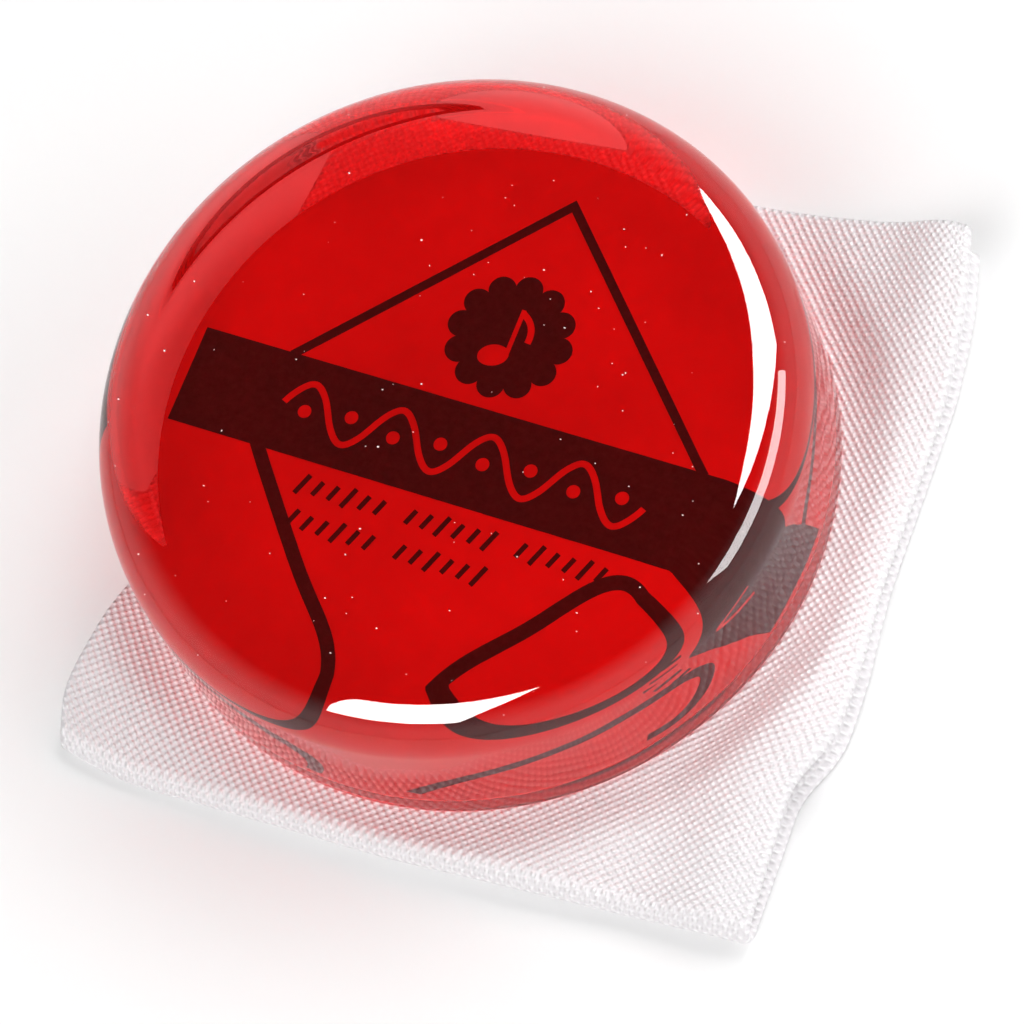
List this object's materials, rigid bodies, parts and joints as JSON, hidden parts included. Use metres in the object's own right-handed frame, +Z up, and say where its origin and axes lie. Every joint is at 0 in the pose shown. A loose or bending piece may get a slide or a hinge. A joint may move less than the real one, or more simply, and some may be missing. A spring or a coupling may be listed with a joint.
{
  "type": "rosin cake",
  "caption": "Round cake of clear red bow rosin with a printed label under it, lying on a folded woven cloth that it lifts off.",
  "frame": {"origin": "on the cake's axis, on the surface that the folded cloth lies on", "axes": "+Z up out of the cake's top face, +X along the label's band as it is read, +Y towards the top of the label"},
  "size_m": [0.0462, 0.046, 0.0142],
  "materials": {
    "rosin": "clear, polished by casting",
    "label_paper": "smooth printed paper",
    "label_ink": "matt dark ink",
    "cloth": "white woven cloth with a slight sheen"
  },
  "bodies": {
    "cloth": {"folded_cloth": "cloth"},
    "cake": {"rosin_cake": "rosin", "label_paper": "label_paper", "label_print": "label_ink"}
  },
  "joints": [
    {"name": "cake_lift", "type": "slide", "parent": "cloth", "child": "cake", "axis": [0, 0, 1], "range_m": [0, 0.03]}
  ]
}
